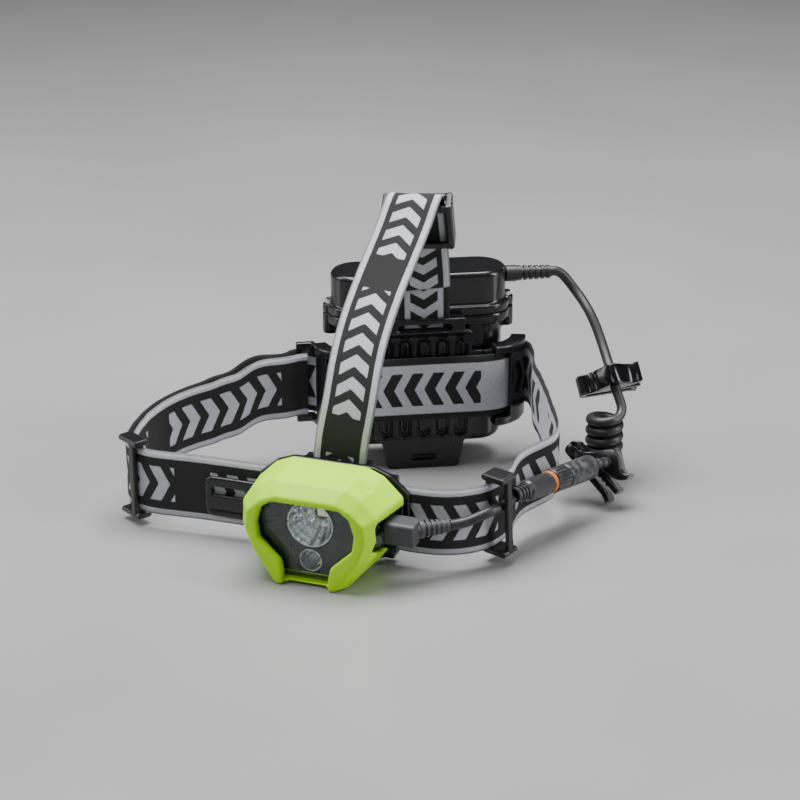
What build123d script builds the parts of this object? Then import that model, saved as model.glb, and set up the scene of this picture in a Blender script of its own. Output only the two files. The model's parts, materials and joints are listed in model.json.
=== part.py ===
from build123d import *
import os
from math import cos, pi, radians, sin

# Miner's cap lamp: a tilting lamp head and a four-cell battery pack on a webbing head harness, joined by a
# cable with a coiled stretch, an in-line connector and two helmet clips. Units are millimetres, +Z is up,
# and the origin is the centre of the underside of the battery cradle's foot. The beam points along -Y.

# ---- driving dimensions ----
CLEAR = 0.15                    # general gap between neighbouring pieces
FIT = 0.05                      # radial running clearance of pins and threads

# head harness
BAND_WIDTH = 25.4
BAND_THICK = 1.5
TOP_WIDTH = 20.0
FRONT_BAND_Z = 18.0             # height of the band's centre line behind the lamp
REAR_BAND_Z = 33.5              # and on the battery cradle
FRONT_BAND_Y = -95.8            # centre plane of the band behind the front plate

# lamp head
LAMP_X = 3.3                    # centre plane of the lamp
LAMP_FRONT = -126.5
LAMP_BEVEL = -121.5             # where the shroud's front bevel ends
SHROUD_REAR = -101.0
HOUSING_REAR = -99.4
SHROUD_WALL = 2.0
LENS_FRONT = -123.3
LENS_WALL = 1.6
MAIN_Z = 22.3                   # height of the main optical axis
MAIN_R = 8.9
DOWN_Z = 8.7                    # height of the downcast optical axis
DOWN_R = 4.6
REFLECTOR_MOUTH = -121.0
REFLECTOR_DEPTH = 11.0
PLATE_FRONT = -99.2
PLATE_THICK = 2.4
TILT_Y = -97.0
TILT_Z = 1.9
TILT_PIN_R = 1.0

# battery pack, in its own frame: x across, y away from the head, z up
PACK_YAW = 28.0
CELL_D = 14.2
CELL_PITCH = 14.5
CELL_H = 50.0
CASE_W = 65.0
CASE_D = 21.0
CASE_BOTTOM = 8.3
CASE_TOP = 61.5
CASE_WALL = 1.8
RIM_W = 71.0
RIM_D = 25.0
RIM_H = 4.0
LID_W = 68.0
LID_TOP = 78.0
LID_RIM_H = 3.4
PANEL_HALF = 19.0
PANEL_Y = -14.6                 # inner face of the cradle panel
SLOT_PITCH = 7.25
ARM_CENTRE = 24.0               # arms are arcs about (+-ARM_CENTRE, 0)
ARM_R = 13.3                    # centre radius of the arm's plate
BAND_ARM_R = 15.3               # centre radius of the band over it
ARM_BAR_R = 17.4                # centre radius of the bars that hold the band
ARM_T = 1.9

# cable
CABLE_R = 1.9
COIL_AXIS = (77.0, -4.5)
COIL_LOW = 12.2
COIL_HIGH = 29.0
COIL_R = 5.4                    # radius of the coil's centre line
COIL_TURNS = 4
LINK_START = (63.6, -76.8, 24.0)  # in-line connector, from the lamp side
LINK_END = (80.1, -31.4, 19.5)    # to the battery side
UPPER_CLIP = (77.0, 4.6, 41.0)
LOWER_CLIP = (83.2, -19.6, 16.4)

# sliders: plan position, heading of the strap, height
LEFT_SLIDER = (-76.8, -95.0)
LEFT_HEADING = -30.0
RIGHT_SLIDER = (58.2, -82.0)
RIGHT_HEADING = 70.0
TOP_SLIDER = (9.1, -25.0, 105.2)
TOP_FALL = (-0.05, 0.37, -0.93)

CENTRED = (Align.CENTER, Align.CENTER, Align.MIN)


# ---- small helpers ----
def save(shapes, name):
    """Write one named sub-part; a group of equal pieces is written as separate solids."""
    solids = []
    for shape in shapes if isinstance(shapes, (list, tuple)) else [shapes]:
        solids.extend(shape.solids())
    body = solids[0] if len(solids) == 1 else Compound(children=solids)
    export_step(body, f"parts/{name}.step")


def peg(start, end, radius, inner=0.0):
    """Cylinder, or tube, between two points."""
    axis = Vector(*end) - Vector(*start)
    plane = Plane(origin=start, z_dir=axis)
    solid = Cylinder(radius, axis.length, align=CENTRED)
    if inner:
        solid -= Cylinder(inner, axis.length, align=CENTRED)
    return plane * solid


def smooth_path(points, step):
    """Points at an even spacing along a spline through the given points."""
    curve = Spline(*points)
    count = max(int(curve.length / step), 8)
    return [(curve @ (i / count), curve % (i / count)) for i in range(count + 1)]


def cable(points, radius=CABLE_R):
    path = Spline(*points)
    return sweep(Plane(origin=path @ 0, z_dir=path % 0) * Circle(radius), path=path)


def ribbed_sleeve(start, direction, length, big, small, bore, ribs):
    """Strain relief: a tapered sleeve with ring-shaped grooves, on a cable."""
    plane = Plane(origin=start, z_dir=direction)
    pitch = length / (ribs + 1)
    body = Cone(big, small, length, align=CENTRED)
    for i in range(ribs):
        z = pitch * (i + 0.9)
        outer = big + (small - big) * z / length
        floor = max(outer - 0.9, bore + 0.35)
        groove = Cylinder(big + 2, pitch * 0.42, align=CENTRED) - Cylinder(floor, pitch * 0.42, align=CENTRED)
        body -= Pos(0, 0, z) * groove
    return plane * (body - Cylinder(bore, length, align=CENTRED))


def in_pack(shape):
    """From the pack's own frame to the object's."""
    return Rot(0, 0, PACK_YAW) * shape


def pack_point(x, y, z=None):
    c = cos(radians(PACK_YAW))
    s = sin(radians(PACK_YAW))
    flat = (x * c - y * s, x * s + y * c)
    return flat if z is None else (*flat, z)


def stadium(width, depth, height, z):
    return Pos(0, 0, z) * extrude(SlotOverall(width, depth), amount=height)


# ---- webbing ----
LEFT_BENDS = [
    (-150, 0.0), (-96, 0.0), (-70, 0.142), (-50, 0.36), (-38, 0.68), (-28, 1.0), (60, 1.0),
]
RIGHT_BENDS = [
    (-150, 0.0), (-96, 0.0), (-70, 0.142), (-45, 0.348), (-25, 0.677), (-8, 0.942), (8, 1.0), (60, 1.0),
]
BAND_SPLIT_X = 42.0             # the right stretch lies beyond this


def band_centre_z(y, bends=LEFT_BENDS):
    """Height of the headband's centre line: it rises from the lamp to the battery cradle."""
    rise = REAR_BAND_Z - FRONT_BAND_Z
    for (y0, s0), (y1, s1) in zip(bends, bends[1:]):
        if y <= y1:
            return FRONT_BAND_Z + rise * (s0 + (s1 - s0) * (y - y0) / (y1 - y0))
    return REAR_BAND_Z


def slope_slab(bends, x0, x1):
    """The space between the headband's lower and upper edge, over a stretch of x."""
    centre = [(y, band_centre_z(y, bends)) for y, _ in bends]
    lower = [(y, z - BAND_WIDTH / 2) for y, z in centre]
    upper = [(y, z + BAND_WIDTH / 2) for y, z in centre]
    sides = [
        Line(lower[0], lower[1]), Spline(*lower[1:-1], tangents=[(1, 0), (1, 0)]), Line(lower[-2], lower[-1]),
        Line(lower[-1], upper[-1]), Line(upper[-1], upper[-2]),
        Spline(*reversed(upper[1:-1]), tangents=[(-1, 0), (-1, 0)]), Line(upper[1], upper[0]),
        Line(upper[0], lower[0]),
    ]
    side = make_face(Wire(sides))
    return Pos(x0, 0, 0) * extrude(Plane.YZ * side, amount=x1 - x0)


def webbing(points, thickness=BAND_THICK):
    """Upright strap that follows a plan line and stands on its edge."""
    left = []
    right = []
    last = None
    run = 0.0
    path = smooth_path(points, 1.0)
    for at, along in path:
        run += 1.0
        turned = last is None or last.get_angle(along) > 7.0 or run > 12.0
        if turned or at is path[-1][0]:
            side = Vector(-along.Y, along.X, 0).normalized() * (thickness / 2)
            left.append((at.X + side.X, at.Y + side.Y))
            right.append((at.X - side.X, at.Y - side.Y))
            last = along
            run = 0.0
    tall = extrude(make_face(Polyline(*left, *reversed(right), close=True)), amount=70)
    body = tall & slope_slab(LEFT_BENDS, -110, BAND_SPLIT_X)
    if max(x for x, _ in left) > BAND_SPLIT_X:
        body += tall & slope_slab(RIGHT_BENDS, BAND_SPLIT_X, 110)
    return body


# plan line of the headband, from the left slider past the lamp and the pack and back to the left slider
BAND_FRONT = [
    (-75.2, -96.0), (-70.2, -97.4), (-62.0, -97.4), (-50.0, -96.4), (-40.0, -96.0), (-20.0, FRONT_BAND_Y),
    (24.0, FRONT_BAND_Y), (34.0, -96.0), (43.6, -94.6), (51.6, -90.2), (56.2, -85.6), (58.2, -82.0),
    (59.9, -77.2), (60.7, -71.0), (60.6, -65.0), (61.9, -58.2), (64.9, -52.6), (68.1, -47.2), (68.8, -41.4),
    (65.6, -32.4), (60.6, -23.6), (53.4, -11.4), (48.0, -2.2),
]
# the same line where it passes the pack, in the pack's frame
BAND_RIGHT_ARM = [(43.2, -14.0), (43.5, -8.0), (43.2, -3.8), (41.2, -1.5), (39.1, -2.6)]
BAND_PANEL = [(16.0, -15.6), (0.0, -15.5), (-16.0, -15.6)]
BAND_LEFT_ARM = [(-44.6, 1.0), (-49.6, 0.6), (-52.6, -2.4)]
BAND_OUTER = [
    (-53.4, -30.9), (-61.6, -37.4), (-71.4, -44.6), (-79.6, -53.6), (-84.0, -64.0), (-85.0, -75.0),
    (-84.0, -84.6), (-81.6, -90.6), (-78.4, -94.1),
]
# folded-back tail, just inside the outer layer
TAIL = [
    (-80.4, -88.6), (-81.9, -82.0), (-82.6, -75.0), (-81.8, -65.0), (-78.0, -55.4), (-70.2, -46.8),
    (-60.4, -39.9), (-51.6, -33.4),
]
TAIL_AT_ARM = [(-50.8, -6.0), (-46.6, -4.4), (-43.8, -4.1)]


def wrap(start, end, side):
    """Points where the band follows an arm of the cradle, by angle from the pack's long axis."""
    count = 4
    angles = [start + (end - start) * i / count for i in range(count + 1)]
    return [(side * (ARM_CENTRE + BAND_ARM_R * cos(radians(a))), BAND_ARM_R * sin(radians(a))) for a in angles]


def headband():
    at_pack = BAND_RIGHT_ARM + wrap(-22, -82, 1) + BAND_PANEL + wrap(-82, -14, -1) + BAND_LEFT_ARM
    return webbing(BAND_FRONT + [pack_point(x, y) for x, y in at_pack] + BAND_OUTER)


def headband_tail():
    return webbing(TAIL + [pack_point(x, y) for x, y in TAIL_AT_ARM])


def slanted_strap(stations, width, thickness, offset=0.0):
    """Strap over the head: rectangles on a centre line, turning about +Z from front to back."""
    points = [point for point, _ in stations]
    curve = Spline(*points)
    sections = []
    count = 3 * (len(stations) - 1)
    for i in range(count + 1):
        t = i / count
        along = curve % t
        share = t * (len(stations) - 1)
        k = min(int(share), len(stations) - 2)
        turn = stations[k][1] + (stations[k + 1][1] - stations[k][1]) * (share - k)
        across = Vector(cos(radians(turn)), sin(radians(turn)), 0)
        normal = along.cross(across).normalized()
        across = normal.cross(along).normalized()
        plane = Plane(origin=(curve @ t) + normal * offset, x_dir=across, z_dir=along)
        sections.append(plane * Rectangle(width, thickness))
    return loft(sections, ruled=True)


# stations of the strap over the head: centre point and turn of the width about +Z
TOP_STATIONS = [
    ((4.6, -95.6, 35.0), 0), ((5.2, -95.4, 42.0), 0), ((7.0, -92.4, 57.0), 0), ((7.2, -84.6, 72.0), 0),
    ((7.6, -73.4, 84.7), 0), ((8.4, -61.4, 94.8), 2), ((9.4, -50.2, 103.6), 4), ((9.9, -41.2, 110.6), 6),
    ((10.0, -34.6, 115.4), 8), ((9.8, -30.4, 116.0), 10), ((9.5, -28.0, 112.7), 12), ((9.1, -25.0, 105.2), 15),
    ((8.7, -22.0, 97.6), 18), ((8.1, -18.4, 88.0), 22), ((7.2, -14.6, 76.0), 27), ((6.7, -12.7, 67.0), 28),
    ((6.7, -12.6, 58.3), 28),
]
TAIL_STATIONS = slice(10, 15)
TAIL_OFFSET = BAND_THICK + 0.5


# ---- strap sliders ----
def slider(strap, inner_gap, outer_gap, length, outer_bars, inner_bars):
    """Ladder slider: two rails joined by bars outside and inside the strap. x runs along the strap, y outwards
    from the loop and z across the strap; the gaps are measured from the strap's centre line."""
    rail = 2.4
    bar = 2.0
    half = strap / 2 + 0.5
    depth = inner_gap + outer_gap + 2 * bar
    middle = (outer_gap - inner_gap) / 2
    body = Part()
    for side in (-1, 1):
        block = Box(length, depth, rail)
        block = chamfer(block.edges().filter_by(Axis.X), 0.8)
        body += Pos(0, middle, side * (half + rail / 2)) * block
    for x in outer_bars:
        body += Pos(x, outer_gap + bar / 2, 0) * Box(2.6, bar, 2 * half + 1.0)
    for x in inner_bars:
        body += Pos(x, -inner_gap - bar / 2, 0) * Box(2.6, bar, 2 * half + 1.0)
    return body


def upright(centre, heading, rise=0.0):
    """Plane on the upright band: x along the strap, y outwards from the loop, z upwards."""
    a = radians(heading)
    along = Vector(cos(a), sin(a), rise).normalized()
    outward = Vector(sin(a), -cos(a), 0)
    return Plane(origin=(*centre, band_centre_z(centre[1])), x_dir=along, z_dir=outward.cross(along) * -1)


def left_slider():
    body = slider(BAND_WIDTH, 1.2, 1.2, 11.0, (2.6,), (0.4,))
    return upright(LEFT_SLIDER, LEFT_HEADING) * body


def right_slider():
    """This one also keeps the lamp cable against the band."""
    cable_gap = BAND_THICK / 2 + 2 * CABLE_R + 0.5
    body = slider(BAND_WIDTH, 1.2, cable_gap, 7.6, (0.0,), (0.0,))
    return upright(RIGHT_SLIDER, RIGHT_HEADING, 0.06) * body


def top_slider():
    body = slider(TOP_WIDTH, 3.6, 1.6, 20.0, (-8.4, 0.0, 8.4), (-8.4, 8.4))
    along = Vector(*TOP_FALL).normalized()
    across = Vector(cos(radians(15)), sin(radians(15)), 0)
    outward = across.cross(along).normalized()
    plane = Plane(origin=TOP_SLIDER, x_dir=along, z_dir=along.cross(outward))
    return plane * body


# ---- lamp head ----
def lamp_outline(half, grow=0.0, corner=2.6):
    """Symmetrical outline in the lamp's front view, from its right half, top to bottom."""
    right = [(LAMP_X + x, z) for x, z in half]
    left = [(LAMP_X - x, z) for x, z in reversed(half)]
    face = make_face(Polyline(*right, *left, close=True))
    face = fillet(face.vertices(), corner)
    if grow:
        face = offset(face, amount=grow, kind=Kind.INTERSECTION)
    return face


def at_depth(face, y):
    return Plane.XZ.offset(-y) * face


def slab(face, front, rear):
    """Solid with the given front-view outline between two depths."""
    return extrude(at_depth(face, rear), amount=rear - front)


FRONT_HALF = [(11.0, 33.6), (16.6, 31.2), (21.6, 26.6), (22.2, 20.0), (19.6, 13.0), (14.6, 5.6), (11.2, 0.6)]
MIDDLE_HALF = [(13.2, 37.8), (19.4, 34.6), (24.9, 28.6), (25.4, 20.4), (22.6, 12.6), (17.4, 4.6), (13.6, 0.0)]
REAR_HALF = [(14.0, 38.2), (20.4, 35.6), (27.6, 28.6), (27.8, 20.4), (24.4, 11.4), (19.0, 4.0), (15.2, 0.4)]
WINDOW_HALF = [(12.6, 31.4), (16.4, 28.6), (18.2, 22.8), (17.4, 16.8), (9.4, 9.2), (8.6, 5.0), (8.6, -3.0)]
PRONG_GAP_HALF = 7.4             # half width of the gap between the shroud's prongs
PLATE_HALF = [(15.0, 37.2), (21.6, 34.8), (28.4, 29.0), (28.6, 20.0), (25.4, 9.0), (20.4, 3.4), (16.5, 1.6)]


def shroud_block(grow, front, rear):
    sections = [
        at_depth(lamp_outline(FRONT_HALF, grow, 2.4), front),
        at_depth(lamp_outline(MIDDLE_HALF, grow, 2.4), LAMP_BEVEL),
        at_depth(lamp_outline(REAR_HALF, grow, 2.4), rear),
    ]
    return loft(sections, ruled=True)


def side_notch(side, shrink=0.0):
    """Opening in the shroud's flank, open to the rear; the cable plugs in on the right."""
    profile = [
        (-121.8 + shrink, 26.4 - shrink), (-96.0, 25.2 - shrink), (-96.0, 6.0 + shrink),
        (-106.0, 9.8 + shrink), (-121.8 + shrink, 15.4 + shrink),
    ]
    face = make_face(Polyline(*profile, close=True))
    face = fillet(face.vertices(), 1.2)
    solid = extrude(Plane.YZ * face, amount=20)
    return Pos(LAMP_X + (14.0 if side > 0 else -34.0), 0, 0) * solid


def lamp_shroud():
    body = shroud_block(0.0, LAMP_FRONT, SHROUD_REAR)
    inner = shroud_block(-SHROUD_WALL, LENS_FRONT - CLEAR, SHROUD_REAR)
    body -= inner
    body -= slab(lamp_outline(REAR_HALF, -SHROUD_WALL, 2.4), SHROUD_REAR - 0.2, SHROUD_REAR + 1)
    window = lamp_outline(WINDOW_HALF, 0, 1.8)
    body -= slab(window, LAMP_FRONT - 3, LENS_FRONT - CLEAR - 1.0)
    above_rim = Pos(LAMP_X, 0, 21.6) * Box(60, 300, 40)
    body -= slab(window, LENS_FRONT - 3, LENS_FRONT + 2) & above_rim
    # between the prongs only a thin rim is left, set back and raised
    body -= Pos(LAMP_X, LENS_FRONT - 3.5, 0) * Box(2 * PRONG_GAP_HALF, 6.0, 7.0)
    body -= Pos(LAMP_X, LENS_FRONT - 1.0, 0) * Box(2 * PRONG_GAP_HALF, 18.0, 1.6)
    body -= side_notch(1)
    body -= side_notch(-1)
    # index pocket on the right top bevel
    pocket = Plane(origin=(LAMP_X + 18.2, -113.5, 36.2), z_dir=(0.55, -0.1, 0.83)) * Box(4.6, 3.0, 2.4)
    return body - pocket


def lens_cover():
    gap = SHROUD_WALL + CLEAR
    outer = shroud_block(-gap, LENS_FRONT, SHROUD_REAR - 0.6)
    inner = shroud_block(-gap - LENS_WALL, LENS_FRONT + LENS_WALL, SHROUD_REAR - 0.5)
    port = Pos(PLUG_BLOCK_AT) * Box(PLUG_BLOCK[0] + 1, PLUG_BLOCK[1] + 2 * CLEAR, PLUG_BLOCK[2] + 2 * CLEAR)
    return outer - inner - peg(BUTTON_OUT, BUTTON_IN, BUTTON_STEM_R + FIT) - port


def reflector_trim():
    """Dark carrier behind the window with a round seat for each reflector."""
    gap = SHROUD_WALL + 2 * CLEAR + LENS_WALL
    body = shroud_block(-gap, LENS_FRONT + LENS_WALL + CLEAR, SHROUD_REAR - 0.5)
    body &= slab(Plane.XY * (Pos(LAMP_X, 20) * Rectangle(80, 80)), -122, -112.0)
    hollow = shroud_block(-gap - 1.4, LENS_FRONT + LENS_WALL + 3.4, SHROUD_REAR - 0.5)
    body -= hollow
    for z, r in ((MAIN_Z, MAIN_R), (DOWN_Z, DOWN_R)):
        body -= peg((LAMP_X, -130, z), (LAMP_X, -100, z), r + CLEAR)
    return body


def reflector(z, mouth_r, mouth_y, depth, throat_r, wall=0.8):
    """Parabolic cup, open to the front, with a throat hole for the LED."""
    rows = 8
    inner = []
    for i in range(rows + 1):
        r = throat_r + (mouth_r - wall - throat_r) * i / rows
        inner.append((r, depth * ((r - throat_r) / (mouth_r - wall - throat_r)) ** 2))
    outer = [(r + wall, d) for r, d in inner]
    cup = make_face(Polyline(*inner, *reversed(outer), close=True))
    solid = revolve(Plane.XZ * cup, axis=Axis.Z)
    return Plane(origin=(LAMP_X, mouth_y + depth, z), z_dir=(0, -1, 0)) * solid


def lamp_housing():
    """Rear shell: a plate that closes the lens cover, with a rim inside it and knuckles for the tilt pin."""
    plate = slab(lamp_outline(REAR_HALF, -1.0, 2.4), SHROUD_REAR + 0.2, HOUSING_REAR)
    gap = SHROUD_WALL + 2 * CLEAR + LENS_WALL
    rim = slab(lamp_outline(REAR_HALF, -gap - 0.6, 2.0), -106.0, SHROUD_REAR + 0.3)
    rim -= slab(lamp_outline(REAR_HALF, -gap - 2.2, 1.6), -107.0, SHROUD_REAR - 1.0)
    body = plate + rim
    knuckle = peg((LAMP_X - 5, TILT_Y, TILT_Z), (LAMP_X + 5, TILT_Y, TILT_Z), 1.75)
    web = Pos(LAMP_X, (HOUSING_REAR + TILT_Y) / 2 - 0.3, TILT_Z) * Box(10, TILT_Y - HOUSING_REAR + 0.6, 3.0)
    body += knuckle + web
    body -= peg((LAMP_X - 6, TILT_Y, TILT_Z), (LAMP_X + 6, TILT_Y, TILT_Z), TILT_PIN_R + FIT)
    for x, z in SCREW_SPOTS:
        body -= peg((LAMP_X + x, -110, z), (LAMP_X + x, HOUSING_REAR + 1, z), 1.25)
        body -= peg((LAMP_X + x, HOUSING_REAR - 0.9, z), (LAMP_X + x, HOUSING_REAR + 1, z), 2.2)
    return body


SCREW_SPOTS = [(-13.0, 31.5), (13.0, 31.5), (-12.0, 9.0), (12.0, 9.0)]


def housing_screws():
    screws = []
    for x, z in SCREW_SPOTS:
        head = peg((LAMP_X + x, HOUSING_REAR - 0.8, z), (LAMP_X + x, HOUSING_REAR - 0.1, z), 2.0)
        shank = peg((LAMP_X + x, -107.5, z), (LAMP_X + x, HOUSING_REAR - 0.7, z), 1.1)
        cross = Pos(LAMP_X + x, HOUSING_REAR, z) * (Box(2.4, 0.8, 0.6) + Box(0.6, 0.8, 2.4))
        screws.append(head + shank - cross)
    return screws


# ---- front plate ----
def front_plate():
    rear = PLATE_FRONT + PLATE_THICK
    body = slab(lamp_outline(PLATE_HALF, 0, 3.0), PLATE_FRONT, rear)
    # slotted wing in front of the band on the left
    left_wing = Pos(-31.5, PLATE_FRONT + 0.9, 16.5) * Box(30, 2.0, 15.5)
    left_wing = fillet(left_wing.edges().filter_by(Axis.Y), 2.5)
    left_wing -= Pos(-37.5, rear, 18.8) * Box(13, 9, 3.2)
    left_wing -= Pos(-37.5, PLATE_FRONT - 0.1, 11.6) * Box(15, 0.8, 1.2)
    body += left_wing
    # belt loops behind the band
    loop_y = FRONT_BAND_Y + BAND_THICK / 2 + 0.25 + 0.9
    for x in (-20.0, 20.0):
        for z in (FRONT_BAND_Z - 14.2, FRONT_BAND_Z + 14.2):
            body += Pos(LAMP_X + x, (PLATE_FRONT + loop_y) / 2, z) * Box(6, loop_y - PLATE_FRONT, 2.0)
        body += Pos(LAMP_X + x, loop_y, FRONT_BAND_Z) * Box(6, 1.8, 30.4)
    # slot for the top strap: a bridge behind the strap's end
    for x in (-11.6, 11.6):
        body += Pos(4.6 + x, -96.1, 35.0) * Box(2.4, 4.2, 4.4)
    body += Pos(4.6, -93.6, 35.0) * Box(25.6, 1.6, 4.4)
    # ears and clearance for the tilt hinge
    body -= Pos(LAMP_X, -98, 0.9) * Box(10.6, 8, 6.4)
    for side in (-1, 1):
        ear = peg((LAMP_X + side * 5.3, TILT_Y, TILT_Z), (LAMP_X + side * 9.0, TILT_Y, TILT_Z), 1.8)
        body += ear
    body -= peg((LAMP_X - 8.6, TILT_Y, TILT_Z), (LAMP_X + 8.6, TILT_Y, TILT_Z), TILT_PIN_R)
    return body


def tilt_pin():
    return peg((LAMP_X - 8.5, TILT_Y, TILT_Z), (LAMP_X + 8.5, TILT_Y, TILT_Z), TILT_PIN_R)


# ---- inside the lamp ----
BOARD_HALF = 9.5
BUTTON_Y = -109.6
BUTTON_Z = 18.0
BUTTON_R = 3.4
BUTTON_STEM_R = 1.5
BUTTON_OUT = (-24.3, BUTTON_Y, BUTTON_Z)
BUTTON_FACE = (-22.5, BUTTON_Y, BUTTON_Z)
BUTTON_IN = (-15.4, BUTTON_Y, BUTTON_Z)


def board(front, rear, low, high, half=BOARD_HALF, middle=LAMP_X):
    block = Box(2 * half, rear - front, high - low)
    block = fillet(block.edges().filter_by(Axis.Y), 1.5)
    return Pos(middle, (front + rear) / 2, (low + high) / 2) * block


def led(z, size):
    """Emitter on a square base, with its dome in the reflector's throat."""
    base_front = LED_BOARD_FRONT - CLEAR
    base = Pos(LAMP_X, base_front - 0.35, z) * Box(size, 0.7, size)
    dome = peg((LAMP_X, base_front - 1.5, z), (LAMP_X, base_front - 0.6, z), size * 0.3)
    return base + dome


LED_BOARD_FRONT = -108.6


def heat_sink():
    body = board(-107.2, -105.8, 7.0, 31.0)
    for i in range(6):
        body += Pos(LAMP_X + (i - 2.5) * 3.2, -104.9, 19.0) * Box(1.0, 2.0, 22.0)
    return body


def tactile_switch():
    x = BUTTON_IN[0]
    body = Pos(x + 4.2, BUTTON_Y, BUTTON_Z) * Box(4.0, 6.0, 6.0)
    return body + peg((x + 1.1, BUTTON_Y, BUTTON_Z), (x + 2.4, BUTTON_Y, BUTTON_Z), 1.5)


def mode_button():
    face = peg(BUTTON_OUT, BUTTON_FACE, BUTTON_R)
    face = fillet(face.edges().sort_by(Axis.X)[0], 0.8)
    return face + peg(BUTTON_FACE, BUTTON_IN, BUTTON_STEM_R)


def housing_seal():
    """Ring between the housing's rim and the inside of the lens cover."""
    gap = SHROUD_WALL + 2 * CLEAR + LENS_WALL
    outer = shroud_block(-gap - 0.1, LENS_FRONT, SHROUD_REAR - 0.5)
    ring = outer & slab(Plane.XY * (Pos(LAMP_X, 20) * Rectangle(80, 80)), -104.0, -102.6)
    return ring - slab(lamp_outline(REAR_HALF, -gap - 0.55, 2.0), -105.0, -102.0)


PLUG_BLOCK = (11.0, 9.6, 8.4)
PLUG_BLOCK_AT = (33.4, -109.4, 19.6)
PLUG_HEADING = 38.0
PLUG_DIRECTION = (cos(radians(PLUG_HEADING)), sin(radians(PLUG_HEADING)), 0)
RELIEF_START = (38.0, -106.4, 19.6)
RELIEF_LENGTH = 11.0


def cable_plug_block():
    block = Box(*PLUG_BLOCK)
    block = fillet(block.edges().filter_by(Axis.X), 1.6)
    block = Pos(PLUG_BLOCK_AT) * block
    collar = Plane(origin=(37.4, -106.9, 19.6), z_dir=PLUG_DIRECTION) * Cylinder(3.4, 2.4, align=CENTRED)
    return block + collar - Plane(origin=RELIEF_START, z_dir=PLUG_DIRECTION) * Cylinder(6, 20, align=CENTRED)


def along_plug(distance):
    return tuple(a + b * distance for a, b in zip(RELIEF_START, PLUG_DIRECTION))


def lamp_strain_relief():
    start = along_plug(0.1)
    return ribbed_sleeve(start, PLUG_DIRECTION, RELIEF_LENGTH, 3.3, 2.4, CABLE_R, 5)


# ---- battery pack ----
LID_SCREW_X = (-34.3, 34.3)
CELL_LOW = CASE_BOTTOM + CASE_WALL + 3.6
CONTACT_Z = CELL_LOW + CELL_H + 0.15
RELIEF_Z = 73.6


def cell_spots():
    return [(i - 1.5) * CELL_PITCH for i in range(4)]


def battery_case():
    body = stadium(CASE_W, CASE_D, CASE_TOP - CASE_BOTTOM, CASE_BOTTOM)
    body = fillet(body.faces().sort_by(Axis.Z)[0].edges(), 3.0)
    body += stadium(RIM_W, RIM_D, RIM_H, CASE_TOP - RIM_H)
    for x in LID_SCREW_X:
        body += Pos(x, 0, CASE_TOP - 8.4) * Cylinder(2.9, 8.4, align=CENTRED)
    for x in cell_spots():
        body -= Pos(x, 0, CASE_BOTTOM + CASE_WALL) * Cylinder(CELL_D / 2 + 0.25, 80, align=CENTRED)
    body -= stadium(60.0, 16.4, 4.0, CASE_TOP - 3.0)
    for x in LID_SCREW_X:
        body -= Pos(x, 0, CASE_TOP - 6.6) * Cylinder(1.7, 10, align=CENTRED)
    return body


def lid_inserts():
    tube = Cylinder(1.7, 5.0, align=CENTRED) - Cylinder(1.0 + FIT, 5.0, align=CENTRED)
    return [Pos(x, 0, CASE_TOP - 6.6) * tube for x in LID_SCREW_X]


def lid_screw(x):
    seat = CASE_TOP + CLEAR + LID_RIM_H + 0.05
    head = Pos(x, 0, seat) * Cylinder(1.9, 1.7, align=CENTRED)
    shank = Pos(x, 0, CASE_TOP - 6.2) * Cylinder(1.0, seat - CASE_TOP + 6.4, align=CENTRED)
    slot = Pos(x, 0, seat + 1.5) * Box(5, 0.6, 1.2)
    return head + shank - slot


def battery_lid():
    z0 = CASE_TOP + CLEAR
    body = stadium(RIM_W, RIM_D, LID_RIM_H, z0)
    for x in LID_SCREW_X:
        body += Pos(x, 0, z0) * Cylinder(2.9, LID_RIM_H, align=CENTRED)
    body += stadium(LID_W, CASE_D + 1.0, LID_TOP - z0, z0)
    body = chamfer(body.faces().sort_by(Axis.Z)[-1].edges(), 1.2)
    body -= stadium(CASE_W - 6.6, CASE_D - 4.0, LID_TOP - z0 - 2.6, z0)
    for x in LID_SCREW_X:
        body -= Pos(x, 0, z0 - 1) * Cylinder(1.0 + 2 * FIT, LID_RIM_H + 2, align=CENTRED)
        body -= Pos(x, 0, z0 + LID_RIM_H) * Cylinder(2.3, 5.0, align=CENTRED)
    groove = stadium(66.2, 20.6, 1.0, z0) - stadium(63.4, 17.8, 1.0, z0)
    body -= groove
    body -= Pos(LID_W / 2 - 8, 0, RELIEF_Z) * Rot(0, 90, 0) * Cylinder(CABLE_R, 20, align=CENTRED)
    return body


def lid_gasket():
    z0 = CASE_TOP + CLEAR + 0.05
    return stadium(66.0, 20.4, 0.9, z0) - stadium(63.6, 18.0, 0.9, z0)


def battery_cells():
    cells = []
    for x in cell_spots():
        can = Pos(x, 0, CELL_LOW) * Cylinder(CELL_D / 2, CELL_H - 1.3, align=CENTRED)
        nub = Pos(x, 0, CELL_LOW + CELL_H - 1.3) * Cylinder(2.7, 1.3, align=CENTRED)
        cells.append(can + nub)
    return cells


def cell_springs():
    springs = []
    for x in cell_spots():
        coil = Helix(pitch=0.9, height=2.5, radius=3.2)
        wire = sweep(Plane(origin=coil @ 0, z_dir=coil % 0) * Circle(0.3), path=coil, is_frenet=True)
        springs.append(Pos(x, 0, CELL_LOW - 2.9) * wire)
    return springs


def link_plates():
    z = CASE_BOTTOM + CASE_WALL + 0.05
    width = CELL_PITCH - 2.5
    return [Pos(x, 0, z) * Box(width, 8.0, 0.3, align=CENTRED) for x in cell_spots()]


def contact_board():
    return stadium(56.0, 14.6, 1.2, CONTACT_Z + 1.3)


def lid_contacts():
    pads = []
    for x in cell_spots():
        pads.append(Pos(x, 0, CONTACT_Z) * Cylinder(2.4, 1.2, align=CENTRED))
    return pads


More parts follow.
